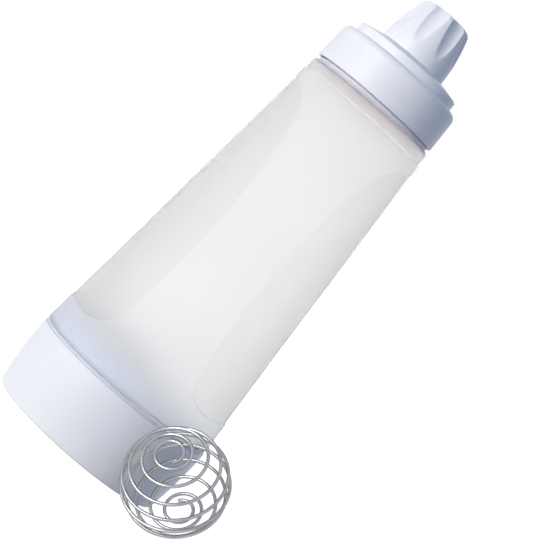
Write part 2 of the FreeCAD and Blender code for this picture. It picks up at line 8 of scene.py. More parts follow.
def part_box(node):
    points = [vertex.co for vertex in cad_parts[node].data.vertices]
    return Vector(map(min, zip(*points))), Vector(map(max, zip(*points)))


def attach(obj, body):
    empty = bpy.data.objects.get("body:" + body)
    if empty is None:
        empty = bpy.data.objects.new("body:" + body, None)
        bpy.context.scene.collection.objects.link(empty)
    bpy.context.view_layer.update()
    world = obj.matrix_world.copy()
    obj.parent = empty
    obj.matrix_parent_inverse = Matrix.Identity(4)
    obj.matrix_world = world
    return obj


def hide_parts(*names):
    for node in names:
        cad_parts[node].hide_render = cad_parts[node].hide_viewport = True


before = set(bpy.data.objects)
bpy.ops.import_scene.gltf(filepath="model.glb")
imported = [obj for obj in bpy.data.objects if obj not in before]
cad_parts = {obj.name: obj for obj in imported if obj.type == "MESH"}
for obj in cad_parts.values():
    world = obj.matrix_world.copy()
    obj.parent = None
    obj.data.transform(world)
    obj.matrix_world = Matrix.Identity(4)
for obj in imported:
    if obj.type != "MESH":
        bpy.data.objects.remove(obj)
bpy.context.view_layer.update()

# Squeeze bottle for batter with a screw base, a red spout under a fluted cap, and a loose wire whisk ball.
# The pieces' sizes are in millimetres; meshes, lamps and camera are in metres, in the frame's own place.
MM = 0.001
ROUND = 192         # columns of a full turn
WELD = 2e-6         # corners nearer to each other than this, in metres, are joined


def corners_of(node):
    """Lowest and highest corner of a node of the frame, in millimetres."""
    return [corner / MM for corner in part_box(node)]


base_high = corners_of("base_cap")[1]
seal_high = corners_of("base_gasket")[1]
bottle_low, bottle_high = corners_of("bottle")
nozzle_high = corners_of("nozzle")[1]
collar_low, collar_high = corners_of("collar")
cap_low, cap_high = corners_of("nozzle_cap")
ball_low, ball_high = corners_of("whisk_ball")

# Walls and the room between pieces
inside_box = 0.02
base_wall = 2.6
thread_room = 2.0
skirt_wall = 1.8
bottle_wall = 1.6
neck_wall = 1.8
collar_wall = 1.6
collar_roof = 2.0
cap_roof = 1.6

# How high each stretch of a piece is
neck_height = 16.5
neck_ring_height = 1.4
band_height = 6.8
band_lip_height = 0.5
flange_height = 1.8
collar_step_height = 4.5
snap_ring_height = 3.2

# Heights up the bottle's axis
rim_z = base_high.z
ledge_z = seal_high.z
skirt_z = bottle_low.z
neck_z = bottle_high.z
collar_foot_z = collar_low.z
stub_z = collar_high.z
seat_z = cap_low.z
top_z = cap_high.z
tip_z = nozzle_high.z
neck_foot_z = neck_z - neck_height
shoulder_z = neck_foot_z - neck_ring_height
step_z = shoulder_z - band_height
cone_z = step_z - band_lip_height
flange_z = neck_z + flange_height
collar_shoulder_z = flange_z + collar_roof
collar_step_z = collar_shoulder_z + collar_step_height
ring_z = seat_z + snap_ring_height
roof_z = top_z - cap_roof

# Radii
rim_radius = base_high.x - inside_box
base_flare = 3.0
base_bore = rim_radius - base_wall
skirt_radius = base_bore - thread_room
skirt_bore = skirt_radius - skirt_wall
ledge_width = 4.3
foot_radius = skirt_radius + ledge_width
band_radius = 35.2
band_lip = 0.65
cone_top_radius = band_radius + band_lip
neck_radius = 31.6
neck_bore = neck_radius - neck_wall
neck_ring_radius = 33.1
collar_radius = collar_high.x
collar_bore = collar_radius - collar_wall
collar_step_width = 5.7
collar_step_radius = collar_radius - collar_step_width
seat_radius = 19.0
stub_bore = 12.3
stub_radius = 13.7
ring_bore = 15.0
ring_radius = 16.1
cap_radius = 18.2
cap_top_radius = 13.0
cap_bore = 16.4

# Grip panels on the bottle's two sides
grip_depth = 0.5
grip_half_gap = 17.7
grip_waist_z = ledge_z + 88.5
grip_sweep = 380.0
grip_low_z = ledge_z + 15.5
grip_low_round = 15.0
grip_top_z = cone_z - 2.5
grip_top_round = 27.0

# Flutes of the cap
flute_count = 8
flute_turn = 29.0
flute_radius = 7.0
flute_foot = (17.55, seat_z + 6.8)
flute_head = (10.7, top_z)
flute_soft = 0.3

# Whisk ball
ball_radius = 25.37
wire_radius = 0.8
ball_turns = 9.5
pole_angle = 12.5
pole_pitch = 5.5
pitch_ease = 0.8
pole_left = 31.0
pole_up = 26.5
end_turn = -58.2

# Threads: lead of one turn, how many turns, how far the crest stands from its wall and the root sinks into it
base_lead = 12.0
base_thread_turns = 0.85
neck_lead = 10.0
neck_thread_turns = 0.80
thread_depth = 1.4
thread_root = 0.15
thread_starts = 2


def rounded_outline(corners):
    """Closed outline of (radius, height) points from corners of (radius, height, rounding)."""
    points = []
    count = len(corners)
    least_steps = 3
    step_angle = 9.0
    for index, (x, z, rounding) in enumerate(corners):
        here = Vector((x, z))
        if rounding == 0.0:
            points.append(here)
            continue
        back = Vector(corners[index - 1][:2]) - here
        ahead = Vector(corners[(index + 1) % count][:2]) - here
        turn = math.pi - back.angle(ahead)
        reach = rounding * math.tan(turn / 2.0)
        start = here + back.normalized() * reach
        end = here + ahead.normalized() * reach
        weight = math.cos(turn / 2.0)
        steps = max(least_steps, math.ceil(math.degrees(turn) / step_angle))
        for step in range(steps + 1):
            share = step / steps
            near = (1.0 - share) ** 2
            middle = 2.0 * weight * share * (1.0 - share)
            far = share ** 2
            points.append((start * near + here * middle + end * far) / (near + middle + far))
    return points


def bowed(start, end, bulge, count):
    """Corners between start and end on a side that bulges outwards by that much in its middle."""
    found = []
    for index in range(1, count):
        share = index / count
        x = start[0] + (end[0] - start[0]) * share + 4.0 * bulge * share * (1.0 - share)
        z = start[1] + (end[1] - start[1]) * share
        found.append((x, z, 0.0))
    return found


def on_axis_turn(radius, height, angle):
    """Point at that radius, height and angle in degrees, in metres."""
    around = math.radians(angle)
    return Vector((radius * math.cos(around), radius * math.sin(around), height)) * MM


def add_rows(mesh, rows, closed=True, finish=0):
    """Quads between rows of points; closed rows come back to their first point."""
    made = [[mesh.verts.new(point) for point in row] for row in rows]
    for low, high in zip(made, made[1:]):
        width = len(low)
        for index in range(width if closed else width - 1):
            after = (index + 1) % width
            face = mesh.faces.new((low[index], low[after], high[after], high[index]))
            face.material_index = finish


def weld(mesh, closed=True):
    """Joins what lies on itself, and turns a closed mesh's faces outwards."""
    sliver = 1e-7
    bmesh.ops.remove_doubles(mesh, verts=mesh.verts[:], dist=WELD)
    bmesh.ops.dissolve_degenerate(mesh, dist=sliver, edges=mesh.edges[:])
    if closed:
        bmesh.ops.recalc_face_normals(mesh, faces=mesh.faces[:])


def new_piece(name, mesh_data, *finishes, sharp=38.0):
    """An object at the origin with that mesh and its materials, smooth between edges sharper than that."""
    mesh_data.name = name
    for finish in finishes:
        mesh_data.materials.append(finish)
    piece = bpy.data.objects.new(name, mesh_data)
    bpy.context.scene.collection.objects.link(piece)
    mesh_data.shade_smooth()
    mesh_data.set_sharp_from_angle(angle=math.radians(sharp))
    weights = piece.modifiers.new("face_weights", "WEIGHTED_NORMAL")
    weights.keep_sharp = True
    return piece


def stands_for(piece, node, body):
    """The piece replaces that node and moves with its body."""
    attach(piece, body)
    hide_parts(node)


def goes_with(piece, body):
    """A piece beside the nodes, such as a thread, that moves with a body."""
    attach(piece, body)


def turned_mesh(corners):
    """Closed mesh of a full turn of the corners' outline."""
    mesh = bmesh.new()
    outline = rounded_outline(corners)
    rows = [
        [on_axis_turn(point.x, point.y, 360.0 * column / ROUND) for column in range(ROUND)]
        for point in outline + outline[:1]
    ]
    add_rows(mesh, rows)
    weld(mesh)
    return to_mesh(mesh)


def to_mesh(mesh):
    """Plain mesh data from a bmesh."""
    data = bpy.data.meshes.new("made")
    mesh.to_mesh(data)
    mesh.free()
    return data


# Trees of nodes


def tree_with(name, inputs):
    """New geometry tree with named inputs; returns the tree and its input sockets by name."""
    tree = bpy.data.node_groups.new(name, "GeometryNodeTree")
    tree.interface.new_socket("Geometry", in_out="INPUT", socket_type="NodeSocketGeometry")
    for label, kind in inputs:
        tree.interface.new_socket(label, in_out="INPUT", socket_type=kind)
    tree.interface.new_socket("Geometry", in_out="OUTPUT", socket_type="NodeSocketGeometry")
    entry = tree.nodes.new("NodeGroupInput")
    return tree, entry.outputs


def put(tree, target, value):
    """Sets a socket to a number, or links it to another socket."""
    if isinstance(value, bpy.types.NodeSocket):
        tree.links.new(value, target)
    else:
        target.default_value = value


def calc(tree, operation, *values):
    """A math node's result."""
    node = tree.nodes.new("ShaderNodeMath")
    node.operation = operation
    for target, value in zip(node.inputs, values):
        put(tree, target, value)
    return node.outputs[0]


def step_node(tree, kind, values=None, **settings):
    """A node with its settings, its inputs given by name or number, and its outputs returned."""
    node = tree.nodes.new(kind)
    for label, value in settings.items():
        setattr(node, label, value)
    for label, value in (values or {}).items():
        put(tree, node.inputs[label], value)
    return node.outputs


def end_tree(tree, geometry, entry):
    """Realize Instances and Set Material close the tree."""
    real = step_node(tree, "GeometryNodeRealizeInstances", {"Geometry": geometry})
    coated = step_node(tree, "GeometryNodeSetMaterial", {"Geometry": real[0], "Material": entry["Material"]})
    put(tree, tree.nodes.new("NodeGroupOutput").inputs["Geometry"], coated[0])


def grown(tree, values, start_mesh=None):
    """Plain mesh that the tree makes with those inputs."""
    maker = bpy.data.objects.new("maker", start_mesh or bpy.data.meshes.new("start"))
    bpy.context.scene.collection.objects.link(maker)
    modifier = maker.modifiers.new("grow", "NODES")
    modifier.node_group = tree
    for item in tree.interface.items_tree:
        if item.item_type == "SOCKET" and item.in_out == "INPUT" and item.name in values:
            modifier[item.identifier] = values[item.name]
    maker.update_tag()
    graph = bpy.context.evaluated_depsgraph_get()
    data = bpy.data.meshes.new_from_object(maker.evaluated_get(graph), depsgraph=graph)
    maker.modifiers.clear()
    bpy.data.objects.remove(maker)
    data.materials.clear()
    return data


def around_axis_tree():
    """Copies of a sector round the axis, welded where they meet."""
    tree, entry = tree_with("flutes_round_cap", [
        ("Copies", "NodeSocketInt"),
        ("Weld", "NodeSocketFloat"),
        ("Material", "NodeSocketMaterial"),
    ])
    line = step_node(tree, "GeometryNodeMeshLine", {"Count": entry["Copies"], "Offset": (0.0, 0.0, 0.0)})
    index = step_node(tree, "GeometryNodeInputIndex")
    share = calc(tree, "DIVIDE", index[0], entry["Copies"])
    angle = calc(tree, "MULTIPLY", share, 2.0 * math.pi)
    turn = step_node(tree, "ShaderNodeCombineXYZ", {"Z": angle})
    copies = step_node(tree, "GeometryNodeInstanceOnPoints", {
        "Points": line[0], "Instance": entry["Geometry"], "Rotation": turn[0],
    })
    real = step_node(tree, "GeometryNodeRealizeInstances", {"Geometry": copies[0]})
    joined = step_node(tree, "GeometryNodeMergeByDistance", {"Geometry": real[0], "Distance": entry["Weld"]})
    end_tree(tree, joined[0], entry)
    return tree


def wire_tree():
    """A wire wound round a ball from pole to pole, whose first and last turns lie closer."""
    tree, entry = tree_with("wound_wire", [
        ("Turns", "NodeSocketFloat"),
        ("Pole angle", "NodeSocketFloat"),
        ("Pole pitch", "NodeSocketFloat"),
        ("Ease", "NodeSocketFloat"),
        ("Line radius", "NodeSocketFloat"),
        ("Wire radius", "NodeSocketFloat"),
        ("Points", "NodeSocketInt"),
        ("Sides", "NodeSocketInt"),
        ("Material", "NodeSocketMaterial"),
    ])
    line = step_node(tree, "GeometryNodeCurvePrimitiveLine")
    dotted = step_node(tree, "GeometryNodeResampleCurve", {"Curve": line[0], "Count": entry["Points"]})
    factor = step_node(tree, "GeometryNodeSplineParameter")["Factor"]
    turn = calc(tree, "MULTIPLY", factor, entry["Turns"])
    half = calc(tree, "MULTIPLY", entry["Turns"], 0.5)
    past = calc(tree, "SUBTRACT", turn, half)
    from_pole = calc(tree, "SUBTRACT", half, calc(tree, "ABSOLUTE", past))
    half_ease = calc(tree, "MULTIPLY", entry["Ease"], 0.5)
    ease_start = calc(tree, "SUBTRACT", 1.0, half_ease)
    ease_end = calc(tree, "ADD", 1.0, half_ease)
    late = calc(tree, "SUBTRACT", from_pole, ease_start)
    eased = calc(tree, "MINIMUM", calc(tree, "MAXIMUM", late, 0.0), entry["Ease"])
    squared = calc(tree, "MULTIPLY", eased, eased)
    slow_run = calc(tree, "DIVIDE", squared, calc(tree, "MULTIPLY", entry["Ease"], 2.0))
    even_run = calc(tree, "MAXIMUM", calc(tree, "SUBTRACT", from_pole, ease_end), 0.0)
    run = calc(tree, "ADD", slow_run, even_run)
    slow_gain = calc(tree, "MULTIPLY", entry["Pole pitch"], half)
    left_over = calc(tree, "SUBTRACT", calc(tree, "SUBTRACT", 90.0, entry["Pole angle"]), slow_gain)
    extra = calc(tree, "DIVIDE", left_over, calc(tree, "SUBTRACT", half, 1.0))
    gain = calc(tree, "MULTIPLY", entry["Pole pitch"], from_pole)
    even = calc(tree, "ADD", entry["Pole angle"], gain)
    polar = calc(tree, "RADIANS", calc(tree, "ADD", even, calc(tree, "MULTIPLY", extra, run)))
    around = calc(tree, "MULTIPLY", turn, 2.0 * math.pi)
    flat = calc(tree, "MULTIPLY", calc(tree, "SINE", polar), entry["Line radius"])
    side = calc(tree, "SUBTRACT", 1.0, calc(tree, "MULTIPLY", calc(tree, "GREATER_THAN", past, 0.0), 2.0))
    height = calc(tree, "MULTIPLY", calc(tree, "COSINE", polar), entry["Line radius"])
    place = step_node(tree, "ShaderNodeCombineXYZ", {
        "X": calc(tree, "MULTIPLY", flat, calc(tree, "COSINE", around)),
        "Y": calc(tree, "MULTIPLY", flat, calc(tree, "SINE", around)),
        "Z": calc(tree, "MULTIPLY", height, side),
    })
    wound = step_node(tree, "GeometryNodeSetPosition", {"Geometry": dotted[0], "Position": place[0]})
    ring = step_node(tree, "GeometryNodeCurvePrimitiveCircle", {
        "Resolution": entry["Sides"], "Radius": entry["Wire radius"],
    })
    tube = step_node(tree, "GeometryNodeCurveToMesh", {
        "Curve": wound[0], "Profile Curve": ring[0], "Fill Caps": True,
    })
    end_tree(tree, tube[0], entry)
    return tree


def thread_tree():
    """Starts of a screw thread: a ridge that climbs round a wall and runs out at both ends."""
    run_out_steepness = 14.0
    end_share = 0.08
    root_widths = 2.1
    crest_widths = 0.7
    tree, entry = tree_with("screw_thread", [
        ("Wall radius", "NodeSocketFloat"),
        ("Depth", "NodeSocketFloat"),
        ("Lead", "NodeSocketFloat"),
        ("Turns", "NodeSocketFloat"),
        ("Low", "NodeSocketFloat"),
        ("Starts", "NodeSocketInt"),
        ("Points", "NodeSocketInt"),
        ("Material", "NodeSocketMaterial"),
    ])
    line = step_node(tree, "GeometryNodeCurvePrimitiveLine")
    dotted = step_node(tree, "GeometryNodeResampleCurve", {"Curve": line[0], "Count": entry["Points"]})
    factor = step_node(tree, "GeometryNodeSplineParameter")["Factor"]
    turn = calc(tree, "MULTIPLY", factor, entry["Turns"])
    around = calc(tree, "MULTIPLY", turn, 2.0 * math.pi)
    climb = calc(tree, "ADD", calc(tree, "MULTIPLY", turn, entry["Lead"]), entry["Low"])
    place = step_node(tree, "ShaderNodeCombineXYZ", {
        "X": calc(tree, "MULTIPLY", entry["Wall radius"], calc(tree, "COSINE", around)),
        "Y": calc(tree, "MULTIPLY", entry["Wall radius"], calc(tree, "SINE", around)),
        "Z": climb,
    })
    helix = step_node(tree, "GeometryNodeSetPosition", {"Geometry": dotted[0], "Position": place[0]})
    upright = step_node(tree, "GeometryNodeSetCurveNormal", {"Curve": helix[0]}, mode="Z_UP")
    to_end = calc(tree, "MINIMUM", factor, calc(tree, "SUBTRACT", 1.0, factor))
    run_out = calc(tree, "MINIMUM", calc(tree, "MULTIPLY", to_end, run_out_steepness), 1.0)
    swell = calc(tree, "ADD", calc(tree, "MULTIPLY", run_out, 1.0 - end_share), end_share)
    tapered = step_node(tree, "GeometryNodeSetCurveRadius", {"Curve": upright[0], "Radius": swell})
    crest = calc(tree, "ABSOLUTE", entry["Depth"])
    ridge = step_node(tree, "GeometryNodeCurvePrimitiveQuadrilateral", {
        "Height": entry["Depth"],
        "Bottom Width": calc(tree, "MULTIPLY", crest, root_widths),
        "Top Width": calc(tree, "MULTIPLY", crest, crest_widths),
        "Offset": 0.0,
    }, mode="TRAPEZOID")
    lift = step_node(tree, "ShaderNodeCombineXYZ", {"Y": calc(tree, "MULTIPLY", entry["Depth"], 0.5)})
    raised = step_node(tree, "GeometryNodeTransform", {"Geometry": ridge[0], "Translation": lift[0]})
    sideways = step_node(tree, "GeometryNodeTransform", {
        "Geometry": raised[0], "Rotation": (0.0, 0.0, -math.pi / 2.0),
    })
    swept = step_node(tree, "GeometryNodeCurveToMesh", {
        "Curve": tapered[0], "Profile Curve": sideways[0], "Scale": swell, "Fill Caps": True,
    })
    starts = step_node(tree, "GeometryNodeMeshLine", {"Count": entry["Starts"], "Offset": (0.0, 0.0, 0.0)})
    share = calc(tree, "DIVIDE", step_node(tree, "GeometryNodeInputIndex")[0], entry["Starts"])
    facing = step_node(tree, "ShaderNodeCombineXYZ", {"Z": calc(tree, "MULTIPLY", share, 2.0 * math.pi)})
    copies = step_node(tree, "GeometryNodeInstanceOnPoints", {
        "Points": starts[0], "Instance": swept[0], "Rotation": facing[0],
    })
    end_tree(tree, copies[0], entry)
    return tree


# Finishes


def new_finish(name, **sockets):
    """A material whose shader has these sockets set; returns the material, its tree and the shader."""
    finish = bpy.data.materials.new(name)
    finish.use_nodes = True
    tree = finish.node_tree
    shader = tree.nodes["Principled BSDF"]
    for label, value in sockets.items():
        shader.inputs[label.replace("_", " ")].default_value = value
    return finish, tree, shader


def noise_at(tree, scale, detail, roughness=0.5):
    """Noise over the piece's own coordinates, so many grains to the metre."""
    spot = step_node(tree, "ShaderNodeTexCoord")["Object"]
    found = step_node(tree, "ShaderNodeTexNoise", {
        "Vector": spot, "Scale": scale, "Detail": detail, "Roughness": roughness,
    })
    return found[0]


def mixed_colour(tree, fac, low, high, start=0.35, end=0.65):
    """A colour between two, as the factor runs from start to end."""
    ramp = tree.nodes.new("ShaderNodeValToRGB")
    ramp.color_ramp.elements[0].position = start
    ramp.color_ramp.elements[0].color = (*low, 1.0)
    ramp.color_ramp.elements[1].position = end
    ramp.color_ramp.elements[1].color = (*high, 1.0)
    put(tree, ramp.inputs[0], fac)
    return ramp.outputs[0]


def ranged(tree, fac, low, high):
    """A number between low and high, as the factor runs from 0 to 1."""
    return calc(tree, "ADD", calc(tree, "MULTIPLY", fac, high - low), low)


def smooth_share(tree, value, start, end):
    """0 to 1 on a soft curve as the value runs from start to end."""
    found = step_node(tree, "ShaderNodeMapRange", {
        "Value": value, "From Min": start, "From Max": end, "To Min": 0.0, "To Max": 1.0,
    }, interpolation_type="SMOOTHSTEP")
    return found[0]


def bumped(tree, shader, height, strength, distance):
    """Bump of that height in metres on the shader's normal."""
    bump = step_node(tree, "ShaderNodeBump", {"Strength": strength, "Distance": distance, "Height": height})
    put(tree, shader.inputs["Normal"], bump[0])


def white_plastic_finish():
    """Satin moulded plastic in a cool white, with the faint ripple of a moulding."""
    finish, tree, shader = new_finish("white_plastic", Specular_IOR_Level=0.28)
    tint = mixed_colour(tree, noise_at(tree, 35.0, 3.0), (0.890, 0.896, 0.924), (0.906, 0.911, 0.936))
    put(tree, shader.inputs["Base Color"], tint)
    put(tree, shader.inputs["Roughness"], ranged(tree, noise_at(tree, 220.0, 4.0), 0.34, 0.46))
    bumped(tree, shader, noise_at(tree, 900.0, 3.0), 0.10, 0.00012)
    return finish


def foot_shade_and_milk(tree, shader, tint, clear):
    """Painted shade low on the body: a cooler, darker tint, darkest on its left side; the wall there is also
    milkier, where it thickens to the ledge, and its right side stays clearer.
    """
    full_at, none_at = 2.0, 20.0
    left_end, right_end = -14.0, 30.0
    right_clears = 0.9
    milkiest = 0.45
    place = step_node(tree, "ShaderNodeTexCoord")["Object"]
    spot = step_node(tree, "ShaderNodeSeparateXYZ", {"Vector": place})
    low = smooth_share(tree, spot["Z"], (ledge_z + none_at) * MM, (ledge_z + full_at) * MM)
    right = smooth_share(tree, spot["X"], left_end * MM, right_end * MM)
    kept = calc(tree, "SUBTRACT", 1.0, calc(tree, "MULTIPLY", right, right_clears))
    milky = calc(tree, "MULTIPLY", low, kept)
    # Painted shade: the cool tint is darker and bluer on the left side and lighter towards the right.
    cool = mixed_colour(tree, right, (0.86, 0.89, 0.97), (0.96, 0.97, 1.0), 0.0, 1.0)
    # The colour mix takes its share on socket 0, its colours on 6 and 7, and gives the result on 2.
    foot_shaded_tint = step_node(tree, "ShaderNodeMix", {0: low, 6: tint, 7: cool}, data_type="RGBA")[2]
    put(tree, shader.inputs["Base Color"], foot_shaded_tint)
    put(tree, shader.inputs["Transmission Weight"], ranged(tree, milky, clear, clear * milkiest))


def frosted_finish(name, low, high, roughness, grain, clear=0.93):
    """Milky bottle plastic that lets soft light through, with painted shade low on the body."""
    uneven = 0.07
    finish, tree, shader = new_finish(name, IOR=1.2)
    foot_shade_and_milk(tree, shader, mixed_colour(tree, noise_at(tree, 22.0, 3.0), low, high), clear)
    rough = ranged(tree, noise_at(tree, 260.0, 5.0), roughness - uneven, roughness + uneven)
    put(tree, shader.inputs["Roughness"], rough)
    bumped(tree, shader, noise_at(tree, 2600.0, 4.0, 0.6), grain, 0.00012)
    return finish


def silicone_finish(name, low, high, clear):
    """Soft rubbery silicone with a dull sheen."""
    finish, tree, shader = new_finish(
        name, Transmission_Weight=clear, IOR=1.41, Sheen_Weight=0.12, Sheen_Roughness=0.4)
    put(tree, shader.inputs["Base Color"], mixed_colour(tree, noise_at(tree, 60.0, 3.0), low, high))
    put(tree, shader.inputs["Roughness"], ranged(tree, noise_at(tree, 420.0, 4.0), 0.38, 0.54))
    bumped(tree, shader, noise_at(tree, 1800.0, 3.0), 0.12, 0.0001)
    return finish


def steel_finish():
    """Drawn steel wire, dark along its edges, with fine uneven marks."""
    finish, tree, shader = new_finish("steel_wire", Metallic=1.0, Specular_Tint=(0.12, 0.12, 0.13, 1.0))
    tint = mixed_colour(tree, noise_at(tree, 140.0, 3.0), (0.33, 0.335, 0.35), (0.42, 0.425, 0.44))
    put(tree, shader.inputs["Base Color"], tint)
    put(tree, shader.inputs["Roughness"], ranged(tree, noise_at(tree, 500.0, 4.0), 0.22, 0.30))
    bumped(tree, shader, noise_at(tree, 2400.0, 3.0), 0.08, 0.00008)
    return finish


white_plastic = white_plastic_finish()
frosted_plastic = frosted_finish(
    "frosted_plastic", (0.886, 0.883, 0.876), (0.900, 0.897, 0.888), roughness=0.62, grain=0.25)
# Grip panels: a clearer, smoother finish, with a darker tint that is painted shade of the sunk panels.
shaded_frosted_grip = frosted_finish(
    "shaded_frosted_grip", (0.812, 0.809, 0.803), (0.824, 0.821, 0.814), roughness=0.58, grain=0.15, clear=1.0)
# Neck and shoulder: a milkier finish, whose darker lavender tint is painted shade under the collar.
shaded_frosted_neck = frosted_finish(
    "shaded_frosted_neck", (0.800, 0.780, 0.850), (0.830, 0.810, 0.875), roughness=0.50, grain=0.15, clear=0.25)
clear_silicone = silicone_finish("clear_silicone", (0.800, 0.815, 0.890), (0.840, 0.850, 0.915), clear=0.15)
red_silicone = silicone_finish("red_silicone", (0.56, 0.012, 0.028), (0.66, 0.018, 0.036), clear=0.0)
steel_wire = steel_finish()

# Places of the bottle's finishes on its piece
GRIP_PLACE = 1
NECK_PLACE = 2


# Pieces


def make_base_cap():
    """Screw base: a cup with a convex side, a stepped bore and a flat foot with a ring recess."""
    step_height = skirt_z - 1.5
    floor_height = 3.2
    side_round = 1.5
    bowl_round = 3.0
    stand_width = 4.5
    pad_radius = 20.0
    recess = 0.8

    def side_at(height):
        return rim_radius - base_flare * ((rim_z - height) / rim_z) ** 2

    side_foot = (rim_radius - base_flare, 0.0)
    foot_inner = side_foot[0] - stand_width
    corners = [
        (*side_foot, side_round),
        *bowed(side_foot, (rim_radius, rim_z), base_flare / 4.0, 12),
        (rim_radius, rim_z, 0.6),
        (base_bore, rim_z, 0.6),
        (base_bore, step_height, 0.3),
        (side_at(step_height) - base_wall, step_height, 0.3),
        (side_at(floor_height) - base_wall, floor_height, bowl_round),
        (0.0, floor_height, 0.0),
        (0.0, 0.0, 0.0),
        (pad_radius, 0.0, 0.3),
        (pad_radius + recess, recess, 0.3),
        (foot_inner - recess, recess, 0.3),
        (foot_inner, 0.0, 0.3),
    ]
    piece = new_piece("screw_base", turned_mesh(corners), white_plastic)
    stands_for(piece, "base_cap", "base_cap")


def make_base_gasket():
    """Flat seal ring between the base's rim and the bottle's ledge."""
    inner = skirt_radius + 0.3
    corners = [
        (inner, rim_z, 0.25),
        (seal_high.x, rim_z, 0.35),
        (seal_high.x, ledge_z, 0.35),
        (inner, ledge_z, 0.25),
    ]
    piece = new_piece("seal_ring", turned_mesh(corners), clear_silicone)
    stands_for(piece, "base_gasket", "base_gasket")


def cone_radius(height):
    """Radius of the bottle's cone at that height."""
    return foot_radius + (cone_top_radius - foot_radius) * (height - ledge_z) / (cone_z - ledge_z)


def grip_edge(height):
    """How far from the axis, to the side, the edge of a grip panel lies at that height."""
    edge = grip_half_gap + (height - grip_waist_z) ** 2 / (2.0 * grip_sweep)
    for corner_z, rounding, way in ((grip_low_z, grip_low_round, 1), (grip_top_z, grip_top_round, -1)):
        centre_z = corner_z + way * rounding
        lean = (centre_z - grip_waist_z) / grip_sweep
        slant = math.hypot(1.0, lean)
        if way * (centre_z + rounding * lean / slant - height) > 0.0:
            centre_x = grip_half_gap + (centre_z - grip_waist_z) ** 2 / (2.0 * grip_sweep) + rounding * slant
            edge = centre_x - math.sqrt(max(rounding ** 2 - (height - centre_z) ** 2, 0.0))
    return edge


def in_grip(angle, height):
    """Whether the grip panel covers that place of the cone, at an angle in degrees from the side."""
    if not grip_low_z < height < grip_top_z:
        return False
    return cone_radius(height) * math.cos(math.radians(angle)) > grip_edge(height)


def grip_crossing(angle, height, middle_z):
    """Share of the way from the panel's middle to that place at which its edge is crossed."""
    inside, outside = 0.0, 1.0
    halvings = 40
    for _ in range(halvings):
        share = (inside + outside) / 2.0
        if in_grip(angle * share, middle_z + (height - middle_z) * share):
            inside = share
        else:
            outside = share
    return inside


def add_grip_side(mesh, low_z, high_z, facing):
    """Half of the bottle's cone with its sunk panel: rings of quads to the panel's edge, a grid inside it."""
    across = ROUND // 2
    up = 84
    outer_rings = 12
    step_down = ((0.0, 0.0), (0.15, 0.08), (0.35, 0.5), (0.55, 0.92), (0.7, 1.0))
    middle_z = (low_z + high_z) / 2.0
    rim = (
        [(-90.0 + 180.0 * i / across, low_z) for i in range(across)]
        + [(90.0, low_z + (high_z - low_z) * j / up) for j in range(up)]
        + [(90.0 - 180.0 * i / across, high_z) for i in range(across)]
        + [(-90.0, high_z - (high_z - low_z) * j / up) for j in range(up)]
    )

    def place(angle, height, sunk):
        return on_axis_turn(cone_radius(height) - sunk, height, angle + facing)

    shares = [grip_crossing(angle, height, middle_z) for angle, height in rim]
    rings = []
    for ring in range(outer_rings):
        blend = ring / outer_rings
        rings.append([
            place(a * (1.0 + (t - 1.0) * blend), middle_z + (z - middle_z) * (1.0 + (t - 1.0) * blend), 0.0)
            for (a, z), t in zip(rim, shares)
        ])
    for offset, depth_share in step_down:
        inner = []
        for (a, z), t in zip(rim, shares):
            reach = math.hypot(math.radians(a) * cone_radius(z), z - middle_z) * t
            keep = t * (1.0 - offset / reach)
            inner.append((a * keep, middle_z + (z - middle_z) * keep))
        rings.append([place(angle, height, depth_share * grip_depth) for angle, height in inner])
    add_rows(mesh, rings)

    low = inner[:across + 1]
    right = inner[across:across + up + 1]
    high = inner[across + up:2 * across + up + 1][::-1]
    left = (inner[2 * across + up:] + inner[:1])[::-1]
    rows = []
    for j in range(up + 1):
        v = j / up
        row = []
        for i in range(across + 1):
            u = i / across
            spot = [
                (1 - v) * low[i][k] + v * high[i][k] + (1 - u) * left[j][k] + u * right[j][k]
                - (1 - u) * (1 - v) * low[0][k] - u * (1 - v) * low[-1][k]
                - (1 - u) * v * high[0][k] - u * v * high[-1][k]
                for k in range(2)
            ]
            row.append(place(spot[0], spot[1], grip_depth))
        rows.append(row)
    add_rows(mesh, rows, closed=False, finish=GRIP_PLACE)


def make_bottle():
    """Conical bottle with a wide skirt below, a neck above and a shallow grip panel on each side."""
    band_round = 2.0
    foot_round = 1.2
    dense_z = shoulder_z - 1.2
    wall = bottle_wall
    corners = [
        (cone_top_radius, cone_z, 0.15),
        (band_radius, step_z, 0.15),
        (band_radius, shoulder_z, band_round),
        (neck_ring_radius, shoulder_z, 0.1),
        (neck_ring_radius, neck_foot_z, 0.4),
        (neck_radius, neck_foot_z, 0.3),
        (neck_radius, neck_z, 0.4),
        (neck_bore, neck_z, 0.4),
        (neck_bore, shoulder_z - wall, 0.8),
        (band_radius - wall, shoulder_z - wall, 0.8),
        (band_radius - wall, step_z, 0.3),
        (foot_radius - wall, ledge_z + wall, 0.4),
        (skirt_bore, ledge_z + wall, 0.4),
        (skirt_bore, skirt_z, 0.4),
        (skirt_radius, skirt_z, 0.6),
        (skirt_radius, ledge_z, 0.3),
        (foot_radius, ledge_z, foot_round),
    ]
    outline = rounded_outline(corners)
    low_z = outline[-1].y
    high_z = outline[0].y
    mesh = bmesh.new()
    rows = [
        [on_axis_turn(point.x, point.y, 360.0 * column / ROUND) for column in range(ROUND)]
        for point in outline
    ]
    add_rows(mesh, rows)
    add_grip_side(mesh, low_z, high_z, 0.0)
    add_grip_side(mesh, low_z, high_z, 180.0)
    weld(mesh)
    for face in mesh.faces:
        if min(corner.co.z for corner in face.verts) > dense_z * MM:
            face.material_index = NECK_PLACE
    piece = new_piece("bottle_body", to_mesh(mesh), frosted_plastic, shaded_frosted_grip, shaded_frosted_neck)
    stands_for(piece, "bottle", "bottle")


